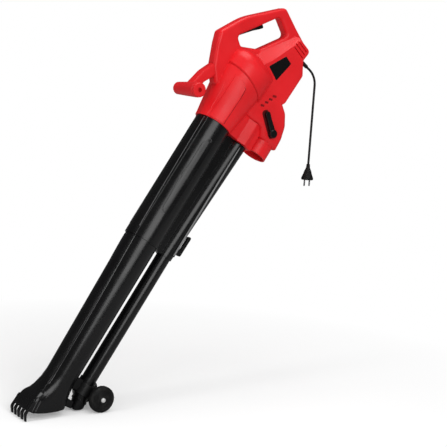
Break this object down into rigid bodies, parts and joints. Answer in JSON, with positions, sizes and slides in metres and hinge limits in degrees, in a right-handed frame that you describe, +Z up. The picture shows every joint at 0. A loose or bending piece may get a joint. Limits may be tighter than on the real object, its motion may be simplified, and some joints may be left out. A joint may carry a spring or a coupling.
{
  "type": "leaf blower vacuum",
  "caption": "Corded garden blower vacuum with a red motor body, black twin tubes, a rake nozzle and small wheels.",
  "frame": {"origin": "on the floor, under the middle of the machine's bounding box without its cord", "axes": "+Z up, +X towards the handles' end, +Y to the operator's right side of the machine (the suction nozzle lies towards -X)"},
  "size_m": [0.9244, 0.156, 1.12],
  "materials": {
    "red_plastic": "satin moulded ABS",
    "black_plastic": "moulded, fine texture",
    "black_rubber": "matt",
    "pale_metal": "bright pressed",
    "bright_steel": "ground",
    "laminated_steel": "stacked electrical sheet",
    "copper_winding": "enamelled copper wire",
    "brass": "plain"
  },
  "bodies": {
    "machine": {"left_housing": "red_plastic", "right_housing": "red_plastic", "front_handle": "red_plastic", "badge_plate": "black_plastic", "upper_tube": "black_plastic", "lower_suction_tube": "black_plastic", "lower_blow_tube": "black_plastic", "blow_nozzle": "black_plastic", "wheel_bracket": "black_plastic", "bag_hook": "black_plastic", "axle": "bright_steel", "hub_cap_left": "pale_metal", "hub_cap_right": "pale_metal", "motor_plate": "black_plastic", "front_bearing": "bright_steel", "rear_bearing": "bright_steel", "motor_stator": "laminated_steel", "field_winding_front": "copper_winding", "field_winding_rear": "copper_winding", "brush_holder_left": "brass", "brush_holder_right": "brass", "trigger_pin": "bright_steel", "switch_body": "black_plastic", "suppression_capacitor": "pale_metal", "cord_clamp": "black_plastic", "strain_relief": "black_rubber", "power_cord": "black_rubber", "plug_body": "black_rubber", "plug_pin_left": "bright_steel", "plug_pin_right": "bright_steel"},
    "rotor": {"impeller": "black_plastic", "impeller_nut": "brass", "motor_shaft": "bright_steel", "armature": "copper_winding", "commutator": "brass"},
    "left_wheel": {"wheel_left": "black_rubber"},
    "right_wheel": {"wheel_right": "black_rubber"},
    "trigger_lever": {"trigger": "black_plastic", "trigger_spring": "bright_steel"},
    "switch_plunger": {"switch_button": "black_plastic"},
    "diverter": {"mode_lever": "black_plastic", "diverter_shaft": "bright_steel", "diverter_flap": "black_plastic"}
  },
  "joints": [
    {"name": "rotor_spin", "type": "hinge", "parent": "machine", "child": "rotor", "pos_m": [0.19419, 0, 0.88908], "axis": [0.5428, 0, 0.8399], "continuous": true},
    {"name": "left_wheel_roll", "type": "hinge", "parent": "machine", "child": "left_wheel", "pos_m": [-0.20835, -0.0485, 0.03621], "axis": [0, 1, 0], "continuous": true},
    {"name": "right_wheel_roll", "type": "hinge", "parent": "machine", "child": "right_wheel", "pos_m": [-0.20835, 0.0485, 0.03621], "axis": [0, 1, 0], "continuous": true},
    {"name": "trigger_pull", "type": "hinge", "parent": "machine", "child": "trigger_lever", "pos_m": [0.19058, 0, 1.04153], "axis": [0, -1, 0], "range_deg": [0, 6], "stiffness_Nm_per_rad": 1.2, "springref_deg": -6.88},
    {"name": "switch_push", "type": "slide", "parent": "machine", "child": "switch_plunger", "axis": [-0.4074, 0, 0.9132], "range_m": [0, 0.0044]},
    {"name": "diverter_turn", "type": "hinge", "parent": "machine", "child": "diverter", "pos_m": [0.29919, 0, 0.76229], "axis": [0, 1, 0], "range_deg": [0, 75]}
  ],
  "couplings": [
    {"joint": "switch_push", "follows": "trigger_pull", "m_per_rad": 0.042}
  ]
}
